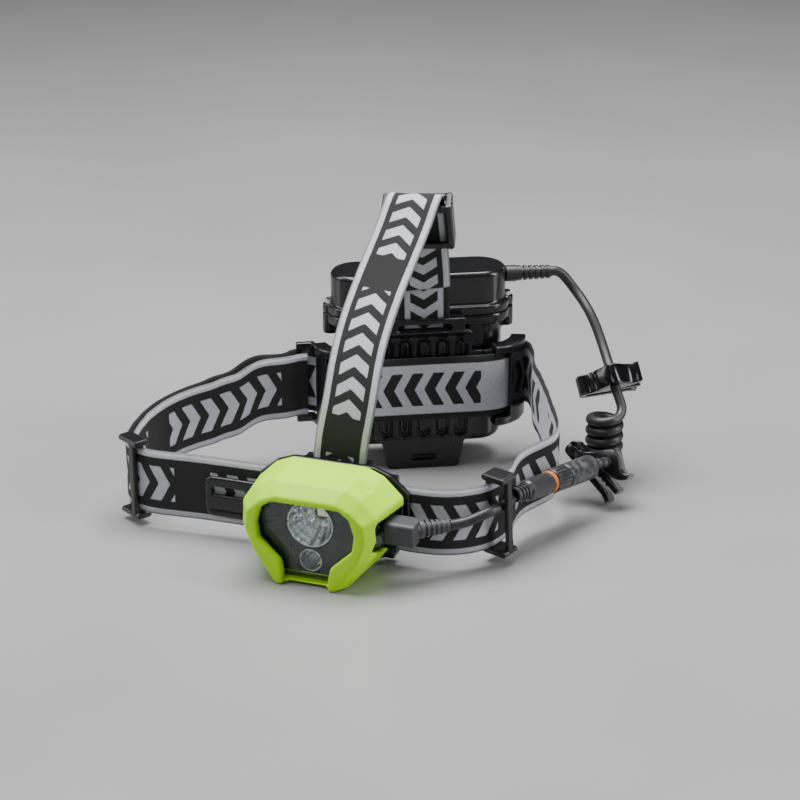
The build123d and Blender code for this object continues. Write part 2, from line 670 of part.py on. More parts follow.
def lid_strain_relief():
    start = pack_point(LID_W / 2 + 0.1, 0, RELIEF_Z)
    flange = Plane(origin=start, z_dir=(*pack_point(1, 0), 0)) * Cylinder(3.2, 4.0, align=CENTRED)
    bore = Plane(origin=start, z_dir=(*pack_point(1, 0), 0)) * Cylinder(CABLE_R, 20, align=CENTRED)
    sleeve = ribbed_sleeve(pack_point(LID_W / 2 + 4.1, 0, RELIEF_Z), (*pack_point(1, 0), 0), 13.4, 3.0, 2.6,
                           CABLE_R, 5)
    return flange - bore + sleeve


def polar(radius, angle, side, z=0.0):
    """Point at an angle about one of the two arm centres of the cradle."""
    return (side * (ARM_CENTRE + radius * cos(radians(angle))), radius * sin(radians(angle)), z)


def sector(inner, outer, start, end, low, high, side):
    """Ring segment about an arm centre, between two angles and two heights."""
    middle = (start + end) / 2
    inner_arc = ThreePointArc(polar(inner, start, side), polar(inner, middle, side), polar(inner, end, side))
    outer_arc = ThreePointArc(polar(outer, end, side), polar(outer, middle, side), polar(outer, start, side))
    ends = [Line(inner_arc @ 1, outer_arc @ 0), Line(outer_arc @ 1, inner_arc @ 0)]
    face = make_face(Wire([inner_arc, ends[0], outer_arc, ends[1]]))
    return extrude(Pos(0, 0, low) * face, amount=high - low, dir=(0, 0, 1))


def cradle_arm(side):
    """Curved plate behind the band, rails above and below it and a bar over it."""
    inner = ARM_R - ARM_T / 2
    plate_outer = ARM_R + ARM_T / 2
    bar_inner = ARM_BAR_R - 0.95
    bar_outer = ARM_BAR_R + 0.95
    low = REAR_BAND_Z - BAND_WIDTH / 2 - 0.5
    high = REAR_BAND_Z + BAND_WIDTH / 2 + 0.5
    tip = -12 if side > 0 else -8
    bar_start = -56 if side > 0 else -42
    bar_end = tip if side > 0 else -22
    body = sector(inner, plate_outer, -92, tip - 3, low - 1, high + 1, side)
    body += sector(inner, bar_outer, -78, tip, low - 3.2, low, side)
    body += sector(inner, bar_outer, -78, tip, high, high + 3.2, side)
    body += sector(bar_inner, bar_outer, bar_start, bar_end, low - 1, high + 1, side)
    if side < 0:
        # the left arm reaches further out, with an end bar behind which the band passes
        for z in (low - 1.6, high + 1.6):
            body += Pos(-44.3, -1.4, z) * Box(7.4, 2.6, 3.2)
        body += Pos(-46.8, -1.4, (low + high) / 2) * Box(2.4, 1.4, high - low + 2)
    return body


def battery_cradle():
    """Panel with slots, arms that hold the headband, a foot and a bar for the top strap."""
    low = 11.0
    high = 56.6
    back = -CASE_D / 2 - CLEAR
    panel = Pos(0, (PANEL_Y + back) / 2, (low + high) / 2) * Box(2 * PANEL_HALF, back - PANEL_Y, high - low)
    body = fillet(panel.edges().filter_by(Axis.Y), 2.0)
    for i in range(5):
        at = Plane(origin=((i - 2) * SLOT_PITCH, PANEL_Y, 33.5), x_dir=(0, 0, 1), z_dir=(0, -1, 0))
        body -= at * Pos(0, 0, -1.6) * extrude(SlotOverall(41, 5.2), amount=3)
        ring = extrude(SlotOverall(37.6, 3.2) - SlotOverall(35.4, 1.2), amount=1.1)
        body += at * Pos(0, 0, -1.7) * ring
    # head with the bar for the top strap
    profile = [
        (back, 54.2), (PANEL_Y, 54.2), (-17.6, 57.0), (-18.0, 62.6), (-12.75, 62.6), (-12.75, 56.8), (back, 56.8),
    ]
    head = Pos(-15.5, 0, 0) * extrude(Plane.YZ * make_face(Polyline(*profile, close=True)), amount=31)
    head = fillet(head.edges().filter_by(Axis.Z).sort_by(Axis.Y)[:2], 1.5)
    head -= Pos(0, -14.3, 62.0) * Box(21.6, 2.2, 11.0)
    window = Plane.XZ * Pos(0, 59.0) * SlotOverall(21.0, 2.8)
    head -= Pos(0, -15, 0) * extrude(window, amount=6)
    body += head
    for side in (-1, 1):
        body += cradle_arm(side)
        body += Pos(side * 21.0, -12.4, REAR_BAND_Z) * Box(6.5, 1.9, 28.0)
    # foot
    foot_face = make_face(Polyline((-16.5, 13.0), (16.5, 13.0), (14.0, 0.0), (-14.0, 0.0), close=True))
    foot_face = fillet(foot_face.vertices().sort_by(Axis.Y)[:2], 2.0)
    foot = Pos(0, back, 0) * extrude(Plane.XZ * foot_face, amount=4.2)
    foot += Pos(0, -6.0, 4.0) * Box(24.0, 10.0, 8.0)
    foot -= Pos(0, back - 4.0, 4.4) * Box(10.0, 3.0, 2.2)
    body += foot
    body -= stadium(CASE_W + 0.3, CASE_D + 0.3, 60, CASE_BOTTOM - CLEAR)
    for x, z in CRADLE_SCREWS:
        body -= peg((x, PANEL_Y - 1, z), (x, back + 1, z), 1.15)
        body -= peg((x, PANEL_Y - 1, z), (x, PANEL_Y + 1.0, z), 2.1)
    return body


CRADLE_SCREWS = [(-PANEL_HALF + 1.9, 53.0), (PANEL_HALF - 1.9, 53.0)]


def cradle_screws():
    back = -CASE_D / 2 - CLEAR
    screws = []
    for x, z in CRADLE_SCREWS:
        head = peg((x, PANEL_Y + 0.1, z), (x, PANEL_Y + 0.9, z), 1.9)
        shank = peg((x, PANEL_Y + 0.8, z), (x, back + 0.05, z), 1.0)
        recess = Pos(x, PANEL_Y, z) * (Box(2.2, 0.9, 0.5) + Box(0.5, 0.9, 2.2))
        screws.append(head + shank - recess)
    return screws


# ---- cables ----
def coil_point(turns):
    """Point on the coil's centre line, falling clockwise from the top."""
    angle = -2 * pi * turns
    z = COIL_HIGH + (COIL_LOW - COIL_HIGH) * turns / COIL_TURNS
    return (COIL_AXIS[0] + COIL_R * cos(angle), COIL_AXIS[1] + COIL_R * sin(angle), z)


def straight_through(centre, direction, reach):
    """Points that keep a cable straight where a clip's ring goes round it."""
    unit = Vector(*direction).normalized()
    return [tuple(Vector(*centre) + unit * d) for d in (-reach, -reach / 3, reach / 3, reach)]


UPPER_RING_AXIS = (0.42, -0.5, -0.76)
LOWER_RING_AXIS = (0.04, 0.93, -0.36)
RING_REACH = 3.6


def battery_cable():
    start = pack_point(LID_W / 2 + 17.6, 0, RELIEF_Z)
    near = pack_point(LID_W / 2 + 20.0, 0, RELIEF_Z)
    end = straight_through(UPPER_CLIP, UPPER_RING_AXIS, RING_REACH)[0]
    return cable([start, near, (53.0, 27.2, 68.6), (62.0, 22.0, 60.6), (69.0, 15.4, 51.8), end])


def coiled_cable():
    path = straight_through(UPPER_CLIP, UPPER_RING_AXIS, RING_REACH - 0.8)
    path += [(81.6, -0.2, 33.6), (82.9, -2.4, 30.8)]
    path += [coil_point(0.04 + (COIL_TURNS - 0.08) * i / (10 * COIL_TURNS)) for i in range(10 * COIL_TURNS + 1)]
    path += [(82.6, -11.0, 13.0)]
    path += list(reversed(straight_through(LOWER_CLIP, LOWER_RING_AXIS, RING_REACH)))
    path += [along_link(1.3), along_link(0.6)]
    return cable(path)


def along_link(beyond):
    """Point on the connector's axis, this far beyond its battery end."""
    axis = (Vector(*LINK_END) - Vector(*LINK_START)).normalized()
    return tuple(Vector(*LINK_END) + axis * beyond)


def lamp_cable():
    keeper = upright(RIGHT_SLIDER, RIGHT_HEADING, 0.06)
    offset = BAND_THICK / 2 + CABLE_R + 0.3
    through = [tuple((keeper * Pos(x, offset, -3.4)).position) for x in (-5.0, 4.6)]
    link = (Vector(*LINK_END) - Vector(*LINK_START)).normalized()
    end = tuple(Vector(*LINK_START) - link * 0.8)
    points = [along_plug(RELIEF_LENGTH + 0.5), along_plug(RELIEF_LENGTH + 2.0), (52.6, -94.9, 20.2)]
    return cable(points + through + [end])


# ---- in-line connector ----
def link_frame():
    return Plane(origin=LINK_START, z_dir=Vector(*LINK_END) - Vector(*LINK_START))


def turned(profile, bore=0.0):
    """Solid of revolution about the connector's axis from (distance, radius) steps."""
    points = [(bore, profile[0][0])] + [(r, z) for z, r in profile] + [(bore, profile[-1][0])]
    face = make_face(Polyline(*points, close=True))
    return link_frame() * revolve(Plane.XZ * face, axis=Axis.Z)


def link_relief():
    return link_frame() * ribbed_sleeve((0, 0, 0.1), (0, 0, 1), 6.4, 2.6, 3.2, CABLE_R, 3)


def link_plug():
    shell = turned([(6.6, 3.3), (7.4, 3.9), (16.0, 4.0), (19.6, 3.9)], 1.0)
    nose = turned([(19.6, 3.1), (28.0, 3.1)], 2.4)
    return shell + nose


def link_seal():
    return turned([(19.8, 3.9), (20.2, 4.15), (21.4, 4.15), (21.8, 3.9)], 3.1 + FIT)


def link_collar():
    """Knurled coupling nut."""
    nut = turned([(22.0, 4.2), (22.4, 4.5), (29.4, 4.5), (29.8, 4.2)], 3.1 + 2 * FIT)
    for i in range(20):
        angle = 2 * pi * i / 20
        spot = Pos(4.65 * cos(angle), 4.65 * sin(angle), 25.9)
        nut -= link_frame() * spot * Cylinder(0.3, 6.0)
    return nut


def link_socket():
    return turned([(30.0, 4.3), (30.4, 4.6), (45.6, 4.6), (46.8, 4.0), (48.4, 2.8)], 2.0)


def link_pins():
    ring = []
    for i in range(3):
        angle = 2 * pi * i / 3
        pin = Pos(1.2 * cos(angle), 1.2 * sin(angle), 22.0) * Cylinder(0.35, 11.0, align=CENTRED)
        ring.append(link_frame() * pin)
    return ring


# ---- helmet clips ----
def cable_clip(centre, ring_axis, reach_to, mouth, tail, side):
    """Hairpin clip beside a ring on the cable: x is its length, z the cable's direction. The two prongs are
    joined at the tail end and open at the mouth."""
    axis = Vector(*ring_axis).normalized()
    along = Vector(*reach_to)
    along = (along - axis * along.dot(axis)).normalized()
    bore = CABLE_R + 0.15
    prong = 2.3
    gap = 1.7
    width = 7.6
    near_y = -(bore + 1.3)
    far_y = near_y - prong - gap
    profile = [
        (-tail, near_y), (mouth, near_y), (mouth, near_y - prong), (-tail + 2.4, near_y - prong),
        (-tail + 2.4, far_y), (mouth - 3.0, far_y), (mouth, far_y - 1.1), (mouth, far_y - prong - 1.1),
        (mouth - 3.6, far_y - prong), (-tail, far_y - prong),
    ]
    hairpin = make_face(Polyline(*profile, close=True))
    corners = hairpin.vertices().group_by(Axis.X)[0]
    hairpin = fillet(corners, 2.2)
    body = extrude(Pos(0, 0, -width / 2) * hairpin, amount=width)
    for i in range(3):
        body += Pos(mouth - 5.0 - 2.2 * i, near_y - prong, 0) * Box(0.9, 0.9, width)
    if side > 0:
        body = mirror(body, about=Plane.XZ)
    boss = Cylinder(bore + 2.5, 5.6)
    body += fillet(boss.edges(), 1.4)
    body -= Cylinder(bore, 3 * width)
    return Plane(origin=centre, x_dir=along, z_dir=axis) * body


if __name__ == "__main__":
    os.makedirs("parts", exist_ok=True)
    save(headband(), "headband")
    save(headband_tail(), "headband_tail")
    save(slanted_strap(TOP_STATIONS, TOP_WIDTH, BAND_THICK), "top_strap")
    save(slanted_strap(TOP_STATIONS[TAIL_STATIONS], TOP_WIDTH, BAND_THICK, TAIL_OFFSET), "top_strap_tail")
    save(left_slider(), "left_slider")
    save(right_slider(), "right_slider")
    save(top_slider(), "top_slider")

    save(lamp_shroud(), "lamp_shroud")
    save(lens_cover(), "lens_cover")
    save(reflector_trim(), "reflector_trim")
    save(reflector(MAIN_Z, MAIN_R, REFLECTOR_MOUTH, REFLECTOR_DEPTH, 2.6), "main_reflector")
    save(reflector(DOWN_Z, DOWN_R, REFLECTOR_MOUTH, REFLECTOR_DEPTH, 1.6), "downcast_reflector")
    save(led(MAIN_Z, 3.6), "main_led")
    save(led(DOWN_Z, 2.2), "downcast_led")
    save(board(LED_BOARD_FRONT, -107.4, 6.4, 31.6), "led_board")
    save(heat_sink(), "heat_sink")
    save(board(-103.6, -102.4, 12.0, 28.0, 13.0, LAMP_X - 3.5), "driver_board")
    save(tactile_switch(), "tactile_switch")
    save(mode_button(), "mode_button")
    save(lamp_housing(), "lamp_housing")
    save(housing_seal(), "housing_seal")
    save(housing_screws(), "housing_screws")
    save(cable_plug_block(), "cable_plug_block")
    save(lamp_strain_relief(), "lamp_strain_relief")
    save(front_plate(), "front_plate")
    save(tilt_pin(), "tilt_pin")

    save(in_pack(battery_case()), "battery_case")
    save([in_pack(s) for s in lid_inserts()], "lid_screw_inserts")
    save(in_pack(battery_lid()), "battery_lid")
    save(in_pack(lid_gasket()), "lid_gasket")
    save(in_pack(lid_screw(LID_SCREW_X[0])), "lid_screw_left")
    save(in_pack(lid_screw(LID_SCREW_X[1])), "lid_screw_right")
    save([in_pack(s) for s in battery_cells()], "battery_cells")
    save([in_pack(s) for s in cell_springs()], "cell_springs")
    save([in_pack(s) for s in link_plates()], "cell_link_plates")
    save(in_pack(contact_board()), "contact_board")
    save([in_pack(s) for s in lid_contacts()], "lid_contacts")
    save(lid_strain_relief(), "lid_strain_relief")
    save(in_pack(battery_cradle()), "battery_cradle")
    save([in_pack(s) for s in cradle_screws()], "cradle_screws")

    save(battery_cable(), "battery_cable")
    save(coiled_cable(), "coiled_cable")
    save(lamp_cable(), "lamp_cable")
    save(link_relief(), "connector_strain_relief")
    save(link_plug(), "connector_plug")
    save(link_seal(), "connector_seal")
    save(link_collar(), "connector_collar")
    save(link_socket(), "connector_socket")
    save(link_pins(), "connector_pins")
    save(cable_clip(UPPER_CLIP, UPPER_RING_AXIS, (18.2, 21.4, 8.0), 12.0, 12.0, -1), "upper_cable_clip")
    save(cable_clip(LOWER_CLIP, LOWER_RING_AXIS, (19.1, 10.6, -21.0), 11.2, 15.0, 1), "lower_cable_clip")
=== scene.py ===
import json
from math import cos, pi, radians, sin

import bpy
import numpy as np
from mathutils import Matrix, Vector, noise


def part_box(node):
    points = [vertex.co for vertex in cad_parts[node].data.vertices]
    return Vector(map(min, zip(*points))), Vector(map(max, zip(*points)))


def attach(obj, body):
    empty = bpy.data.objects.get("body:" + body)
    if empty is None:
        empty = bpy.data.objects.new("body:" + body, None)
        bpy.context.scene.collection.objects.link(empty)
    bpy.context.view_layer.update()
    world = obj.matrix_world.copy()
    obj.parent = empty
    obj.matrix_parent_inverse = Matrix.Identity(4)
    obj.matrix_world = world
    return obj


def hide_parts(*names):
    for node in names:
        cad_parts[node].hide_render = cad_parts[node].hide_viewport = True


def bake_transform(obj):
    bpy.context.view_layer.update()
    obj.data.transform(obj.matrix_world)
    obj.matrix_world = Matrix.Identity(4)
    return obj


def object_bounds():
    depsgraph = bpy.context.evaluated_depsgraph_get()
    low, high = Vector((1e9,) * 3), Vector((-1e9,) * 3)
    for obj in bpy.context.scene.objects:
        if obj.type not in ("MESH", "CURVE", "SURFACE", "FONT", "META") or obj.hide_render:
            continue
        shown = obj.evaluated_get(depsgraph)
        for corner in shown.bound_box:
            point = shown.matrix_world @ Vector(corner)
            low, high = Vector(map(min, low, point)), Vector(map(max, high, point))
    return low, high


# Looks of a miner's cap lamp: webbing, moulded shells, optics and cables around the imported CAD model.
# Lengths are millimetres in the frame's axes until a mesh is written, then metres.

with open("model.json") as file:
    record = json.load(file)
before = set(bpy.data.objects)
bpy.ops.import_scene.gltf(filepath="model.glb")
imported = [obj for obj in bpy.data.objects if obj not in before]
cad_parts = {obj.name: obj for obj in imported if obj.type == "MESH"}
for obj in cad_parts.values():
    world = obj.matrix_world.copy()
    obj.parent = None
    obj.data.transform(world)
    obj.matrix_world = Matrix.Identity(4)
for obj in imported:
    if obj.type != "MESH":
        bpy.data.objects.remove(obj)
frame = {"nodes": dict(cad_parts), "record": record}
cad_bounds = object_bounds()
MM = 0.001

# ---- driving values ----
BAND_WIDTH = 25.4
TOP_WIDTH = 20.0
WEBBING_THICK = 1.4             # a little under the CAD strap's 1.5, for the waviness
STRAP_STEP = 1.2                # spacing of the rows of faces along a strap
STRAP_CELLS = 14                # faces across a strap
PACK_YAW = 28.0
BAND_SPLIT_X = 42.0
ARM_CENTRE = 24.0
BAND_ARM_R = 15.3


# ---- reading the frame ----
def centre_of(node):
    """Centre of a node's box, in millimetres."""
    low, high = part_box(node)
    return (low + high) / 2 / MM


def half_width(node):
    """Half of a node's width along x, in millimetres."""
    low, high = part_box(node)
    return (high.x - low.x) / 2 / MM


def vertices_of(node):
    """Points of a node's CAD mesh, in millimetres."""
    mesh = frame["nodes"][node].data
    return np.array([v.co for v in mesh.vertices], float) / MM


LAMP = centre_of("main_reflector")
DOWN = centre_of("downcast_reflector")


def band_heights(right):
    """Height of the headband's centre line against y, from the CAD band's own edges."""
    points = vertices_of("headband")
    points = points[(points[:, 0] > BAND_SPLIT_X) == right]
    rows = {}
    for x, y, z in points:
        rows.setdefault((round(x, 1), round(y, 1)), []).append(z)
    line = sorted((y, (min(zs) + max(zs)) / 2) for (_, y), zs in rows.items() if max(zs) - min(zs) > 24)
    return np.array(line).T


HEIGHTS = {right: band_heights(right) for right in (False, True)}
EASE_SPAN = 3.0                 # millimetres over which the band's height is eased


def band_z(x, y):
    """Height of the band's centre line at a plan point."""
    ys, zs = HEIGHTS[x > BAND_SPLIT_X]
    near = np.exp(-((ys - y) / EASE_SPAN) ** 2) + 1e-9
    flat = float(np.interp(y, ys, zs))
    eased = float((near * zs).sum() / near.sum())
    return 0.5 * flat + 0.5 * eased if near.max() > 0.3 else flat


# ---- materials ----
class Shader:
    """Small wrapper that adds nodes to a material and links them."""

    def __init__(self, name):
        self.material = bpy.data.materials.new(name)
        self.material.use_nodes = True
        self.tree = self.material.node_tree
        self.surface = self.tree.nodes["Principled BSDF"]
        self.output = self.tree.nodes["Material Output"]

    def add(self, kind, inputs=None, **settings):
        made = self.tree.nodes.new("ShaderNode" + kind)
        for key, value in settings.items():
            setattr(made, key, value)
        for key, value in (inputs or {}).items():
            self.set(made, key, value)
        return made

    def set(self, target, key, value):
        if isinstance(value, bpy.types.NodeSocket):
            self.tree.links.new(value, target.inputs[key])
        else:
            target.inputs[key].default_value = value

    def math(self, operation, a, b=0.0):
        return self.add("Math", {0: a, 1: b}, operation=operation).outputs[0]

    def position(self):
        return self.add("NewGeometry").outputs["Position"]

    def noise(self, scale, detail=3.0, where=None):
        inputs = {"Scale": scale, "Detail": detail, "Vector": where or self.position()}
        return self.add("TexNoise", inputs).outputs["Fac"]

    def ramp(self, value, low, high, start=0.0, end=1.0):
        inputs = {"Value": value, "From Min": low, "From Max": high, "To Min": start, "To Max": end}
        return self.add("MapRange", inputs).outputs["Result"]

    def mix(self, share, a, b):
        made = self.add("Mix", data_type="RGBA")
        self.set(made, 0, share)
        self.set(made, 6, a)
        self.set(made, 7, b)
        return made.outputs[2]

    def bump(self, height, depth, strength=1.0, normal=None):
        inputs = {"Height": height, "Distance": depth * MM, "Strength": strength}
        if normal is not None:
            inputs["Normal"] = normal
        return self.add("Bump", inputs).outputs["Normal"]

    def finish(self, **values):
        for key, value in values.items():
            self.set(self.surface, key.replace("_", " "), value)
        return self.material


GRAIN_SCALE = 2850.0            # moulded grain, about 0.35 mm across


def rgb(red, green, blue):
    """Colour from ordinary 0-255 values, made linear."""
    return tuple((c / 255) ** 2.2 for c in (red, green, blue)) + (1.0,)


def shade_of(colour, share):
    """Colour with its brightness cut to a share of itself."""
    return tuple(c * share for c in colour[:3]) + (1.0,)


def moulded(name, colour, roughness=0.35, grain=0.02, wear=None, edge=0.35, gloss=0.5):
    """Moulded plastic: fine spark-eroded grain, uneven sheen, rounded and lightly rubbed edges."""
    s = Shader(name)
    cloud = s.noise(55.0, 4.0)
    fine = s.noise(GRAIN_SCALE, 2.0)
    base = s.mix(s.ramp(cloud, 0.3, 0.7), shade_of(colour, 0.92), colour)
    if wear:
        on_edge = s.ramp(s.add("NewGeometry").outputs["Pointiness"], 0.52, 0.62)
        rubbed = s.math("MULTIPLY", on_edge, s.ramp(s.noise(400.0, 3.0), 0.4, 0.65))
        base = s.mix(s.math("MULTIPLY", rubbed, 0.55), base, wear)
    rounded = s.add("Bevel", {"Radius": edge * MM}, samples=6).outputs["Normal"]
    uneven = s.math("ADD", cloud, s.math("MULTIPLY", fine, 0.35))
    rough = s.ramp(uneven, 0.3, 1.0, roughness * 0.8, roughness * 1.25)
    normal = s.bump(fine, grain, normal=rounded)
    return s.finish(Base_Color=base, Roughness=rough, Normal=normal, Specular_IOR_Level=gloss)


BRUSHED = (2400.0, 300.0, 300.0)  # noise scale of the machining lines along each axis


def metal(name, colour, roughness=0.25, scratch=0.01):
    """Machined or pressed metal with fine lines across it."""
    s = Shader(name)
    stretched = s.add("VectorMath", {0: s.position(), 1: BRUSHED}, operation="MULTIPLY").outputs[0]
    lines = s.noise(1.0, 3.0, stretched)
    tone = s.mix(s.ramp(lines, 0.3, 0.7), shade_of(colour, 0.82), colour)
    rounded = s.add("Bevel", {"Radius": 0.15 * MM}, samples=4).outputs["Normal"]
    return s.finish(
        Base_Color=tone, Metallic=1.0, Roughness=s.ramp(lines, 0.3, 0.7, roughness * 0.8, roughness * 1.3),
        Normal=s.bump(lines, scratch, normal=rounded),
    )


def around(s, centre):
    """Radius in millimetres and angle of a shading point about an axis along y."""
    local = s.add("VectorMath", {0: s.position(), 1: tuple(centre * MM)}, operation="SUBTRACT").outputs[0]
    parts = s.add("SeparateXYZ", {0: local})
    x, z = parts.outputs["X"], parts.outputs["Z"]
    square = s.math("ADD", s.math("MULTIPLY", x, x), s.math("MULTIPLY", z, z))
    return s.math("DIVIDE", s.math("SQRT", square), MM), s.math("ARCTAN2", z, x)


def reflector_metal(name, centre, facets, rim):
    """Vacuum-metallised cup with shallow pressed facets, fine turned rings and a dark rim."""
    s = Shader(name)
    radius, angle = around(s, centre)
    fans = s.math("SINE", s.math("MULTIPLY", angle, facets))
    rings = s.math("SINE", s.math("MULTIPLY", radius, 3.6))
    height = s.math("ADD", s.math("MULTIPLY", fans, 0.35), s.math("MULTIPLY", rings, 0.2))
    tone = s.mix(s.ramp(s.noise(300.0), 0.3, 0.7), (0.78, 0.78, 0.82, 1.0), (0.92, 0.92, 0.95, 1.0))
    tone = s.mix(s.ramp(radius, rim - 0.5, rim - 0.35), tone, (0.08, 0.08, 0.085, 1.0))
    return s.finish(Base_Color=tone, Metallic=1.0, Roughness=0.06, Normal=s.bump(height, 0.45))


TRIM_LINES = 48.0
TRIM_RING_R = 10.6              # turned rings inside this radius, radial lines outside it


def trim_plastic(name):
    """Dark glossy carrier with fine rings and radial lines about the main beam."""
    s = Shader(name)
    radius, angle = around(s, LAMP)
    lines = s.math("SINE", s.math("MULTIPLY", angle, TRIM_LINES))
    rings = s.math("SINE", s.math("MULTIPLY", radius, 4.0))
    outside = s.ramp(radius, TRIM_RING_R, TRIM_RING_R + 0.3)
    turned = s.math("MULTIPLY", rings, s.math("SUBTRACT", 1.0, outside))
    height = s.math("ADD", s.math("MULTIPLY", lines, outside), turned)
    tone = s.mix(s.ramp(s.noise(120.0), 0.3, 0.7), rgb(20, 20, 23), rgb(30, 30, 34))
    return s.finish(Base_Color=tone, Roughness=0.16, Specular_IOR_Level=0.25, Normal=s.bump(height, 0.05))


def clear_plastic(name, tint=(0.93, 0.97, 0.95, 1.0)):
    """Polycarbonate: mostly see-through, with a reflecting skin that grows towards grazing angles."""
    s = Shader(name)
    fresnel = s.add("Fresnel", {"IOR": 1.5}).outputs[0]
    skin = s.math("MULTIPLY", fresnel, 0.55)
    haze = s.ramp(s.noise(700.0, 4.0), 0.35, 0.75, 0.01, 0.05)
    gloss = s.add("BsdfGlossy", {"Color": (1.0, 1.0, 1.0, 1.0), "Roughness": haze})
    clear = s.add("BsdfTransparent", {"Color": tint})
    both = s.add("MixShader", {0: skin, 1: clear.outputs[0], 2: gloss.outputs[0]})
    s.tree.links.new(both.outputs[0], s.output.inputs["Surface"])
    return s.material


def circuit_board(name):
    """Green board with a grid of paler tracks."""
    s = Shader(name)
    tracks = s.add("TexBrick", {"Vector": s.position(), "Scale": 260.0, "Mortar Size": 0.03}).outputs["Fac"]
    base = s.mix(tracks, rgb(14, 70, 40), rgb(120, 130, 60))
    return s.finish(Base_Color=base, Roughness=0.4, Normal=s.bump(tracks, 0.03))


def rubber(name, colour, roughness=0.5, grain=0.03):
    """Soft rubber with a fine matt grain and a few pale scuffs."""
    s = Shader(name)
    fine = s.noise(2600.0, 2.0)
    scuff = s.ramp(s.noise(160.0, 5.0), 0.58, 0.75, 0.0, 0.25)
    paler = tuple(min(c * 2.4 + 0.02, 1.0) for c in colour[:3]) + (1.0,)
    height = s.math("ADD", fine, s.math("MULTIPLY", s.noise(500.0), 0.6))
    rounded = s.add("Bevel", {"Radius": 0.3 * MM}, samples=4).outputs["Normal"]
    base = s.mix(scuff, colour, paler)
    rough = s.ramp(fine, 0.3, 0.7, roughness * 0.85, roughness * 1.15)
    return s.finish(Base_Color=base, Roughness=rough, Normal=s.bump(height, grain, normal=rounded))


# the webbing's woven stripes and chevrons, in millimetres
STRIPE_WIDTH = 2.6
MOTIF_GROUP = 62.0              # one run of chevrons and the gap behind it
MOTIF_RUN = 48.0
MOTIF_PITCH = 8.0
MOTIF_HALF = 0.52               # half height of the motif, as a share of the strap's half width
MOTIF_BAR = 2.05                # half width of one chevron's bar
CHEVRON_LEAN = 3.4
RUN_OFFSET = 4000.0             # keeps the distance along a strap positive before it is wrapped
YARN = 0.95
WEFT = 0.75


def woven(name, half_width, shift=0.0):
    """Jacquard webbing: black field with pale edges and chevrons outside, colours swapped on the reverse."""
    s = Shader(name)
    strap = s.add("Attribute", attribute_name="strap").outputs["Vector"]
    parts = s.add("SeparateXYZ", {0: strap})
    along, across, side = parts.outputs
    from_edge = s.math("MULTIPLY", s.math("SUBTRACT", 1.0, s.math("ABSOLUTE", across)), half_width)
    ragged = s.math("MULTIPLY", s.math("SUBTRACT", s.noise(1400.0, 2.0), 0.5), 0.5)
    edge = s.ramp(s.math("ADD", from_edge, ragged), STRIPE_WIDTH - 0.15, STRIPE_WIDTH + 0.15, 1.0, 0.0)
    selvedge = s.ramp(from_edge, 0.45, 0.75, 1.0, 0.0)
    # chevrons: bars that lean both ways from the strap's middle, in runs with a gap between them
    folded = s.math("ABSOLUTE", across)
    lean = s.math("MULTIPLY", folded, CHEVRON_LEAN * 2)
    run = s.math("MODULO", s.math("ADD", along, RUN_OFFSET + shift), MOTIF_GROUP)
    bar = s.math("MODULO", s.math("ADD", s.math("ADD", run, lean), ragged), MOTIF_PITCH)
    off_bar = s.math("ABSOLUTE", s.math("SUBTRACT", bar, MOTIF_PITCH / 2))
    on_bar = s.ramp(off_bar, MOTIF_BAR, MOTIF_BAR + 0.25, 1.0, 0.0)
    in_run = s.ramp(run, MOTIF_RUN - 0.2, MOTIF_RUN, 1.0, 0.0)
    frayed = s.math("ADD", folded, s.math("MULTIPLY", ragged, 0.03))
    in_height = s.ramp(frayed, MOTIF_HALF, MOTIF_HALF + 0.02, 1.0, 0.0)
    motif = s.math("MULTIPLY", on_bar, s.math("MULTIPLY", in_run, in_height))
    pale = s.math("MAXIMUM", motif, s.math("SUBTRACT", edge, s.math("MULTIPLY", selvedge, 0.65)))
    swapped = s.math("SUBTRACT", 1.0, s.math("MAXIMUM", motif, edge))
    outside = s.ramp(side, -0.05, 0.05)
    reverse = s.math("MULTIPLY", swapped, s.math("SUBTRACT", 1.0, outside))
    light = s.math("ADD", s.math("MULTIPLY", pale, outside), reverse)
    # yarns: warp ribs along the strap, weft picks across it, offset from rib to rib like a twill; the yarn
    # colour is darkened in the grooves between them and lightened on their crests, a painted shade and
    # highlight of the weave
    ribs = s.math("SINE", s.math("MULTIPLY", across, 2 * pi * half_width / YARN))
    stagger = s.math("MULTIPLY", s.math("SIGN", ribs), pi / 2)
    picks = s.math("SINE", s.math("ADD", s.math("MULTIPLY", along, 2 * pi / WEFT), stagger))
    weave = s.math("ADD", s.math("MULTIPLY", s.math("ABSOLUTE", ribs), 0.6), s.math("MULTIPLY", picks, 0.4))
    fuzz = s.noise(3500.0, 2.0)
    # painted shade and highlight: the colour is scaled from 0.55 in the weave's grooves to 1.15 on its
    # crests, with a little noise
    painted_weave_shade = s.ramp(s.math("ADD", weave, fuzz), 0.0, 1.6, 0.55, 1.15)
    dark_yarn = s.mix(s.noise(900.0), rgb(9, 9, 11), rgb(23, 23, 26))
    pale_yarn = s.mix(s.noise(900.0), rgb(176, 176, 186), rgb(222, 222, 230))
    colour = s.mix(light, dark_yarn, pale_yarn)
    grey = s.add("CombineXYZ", {0: painted_weave_shade, 1: painted_weave_shade, 2: painted_weave_shade}).outputs[0]
    shaded = s.add("VectorMath", {0: colour, 1: grey}, operation="MULTIPLY").outputs[0]
    normal = s.bump(s.math("ADD", weave, s.math("MULTIPLY", light, 0.35)), 0.16)
    return s.finish(Base_Color=shaded, Roughness=0.78, Normal=normal, Sheen_Weight=0.08, Sheen_Roughness=0.4)


